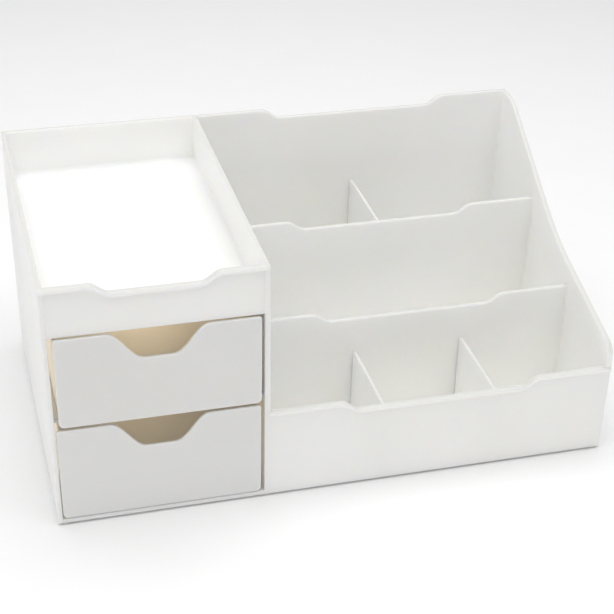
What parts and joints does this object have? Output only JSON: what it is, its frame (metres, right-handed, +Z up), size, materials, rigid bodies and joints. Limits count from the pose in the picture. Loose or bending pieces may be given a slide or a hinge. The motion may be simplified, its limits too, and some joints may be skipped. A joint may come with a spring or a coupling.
{
  "type": "desk organizer",
  "caption": "Desk organizer with a lipped top tray over sliding drawers, beside open divided compartments that step down to the front.",
  "frame": {"origin": "on the surface it stands on, under the middle of the overall box", "axes": "+X to the user's right, -Y towards the user (drawers open this way), +Z up"},
  "size_m": [0.3, 0.183, 0.139],
  "materials": {
    "body_plastic": "satin moulded white",
    "drawer_plastic": "satin moulded warm white",
    "foot_plastic": "matt moulded white"
  },
  "bodies": {
    "organizer_body": {"base_plate": "body_plastic", "compartment_floor": "body_plastic", "left_side_wall": "body_plastic", "centre_wall": "body_plastic", "right_side_wall": "body_plastic", "back_wall": "body_plastic", "front_wall": "body_plastic", "front_step_wall": "body_plastic", "rear_step_wall": "body_plastic", "top_tray": "body_plastic", "rear_divider": "body_plastic", "front_divider_left": "body_plastic", "front_divider_right": "body_plastic", "upper_runner_left": "body_plastic", "upper_runner_right": "body_plastic", "foot_front_left": "foot_plastic", "foot_front_centre": "foot_plastic", "foot_front_right": "foot_plastic", "foot_back_left": "foot_plastic", "foot_back_centre": "foot_plastic", "foot_back_right": "foot_plastic"},
    "upper_drawer": {"upper_drawer": "drawer_plastic"},
    "lower_drawer": {"lower_drawer": "drawer_plastic"}
  },
  "joints": [
    {"name": "upper_drawer_slide", "type": "slide", "parent": "organizer_body", "child": "upper_drawer", "axis": [0, -1, 0], "range_m": [0, 0.13]},
    {"name": "lower_drawer_slide", "type": "slide", "parent": "organizer_body", "child": "lower_drawer", "axis": [0, -1, 0], "range_m": [0, 0.13]}
  ]
}
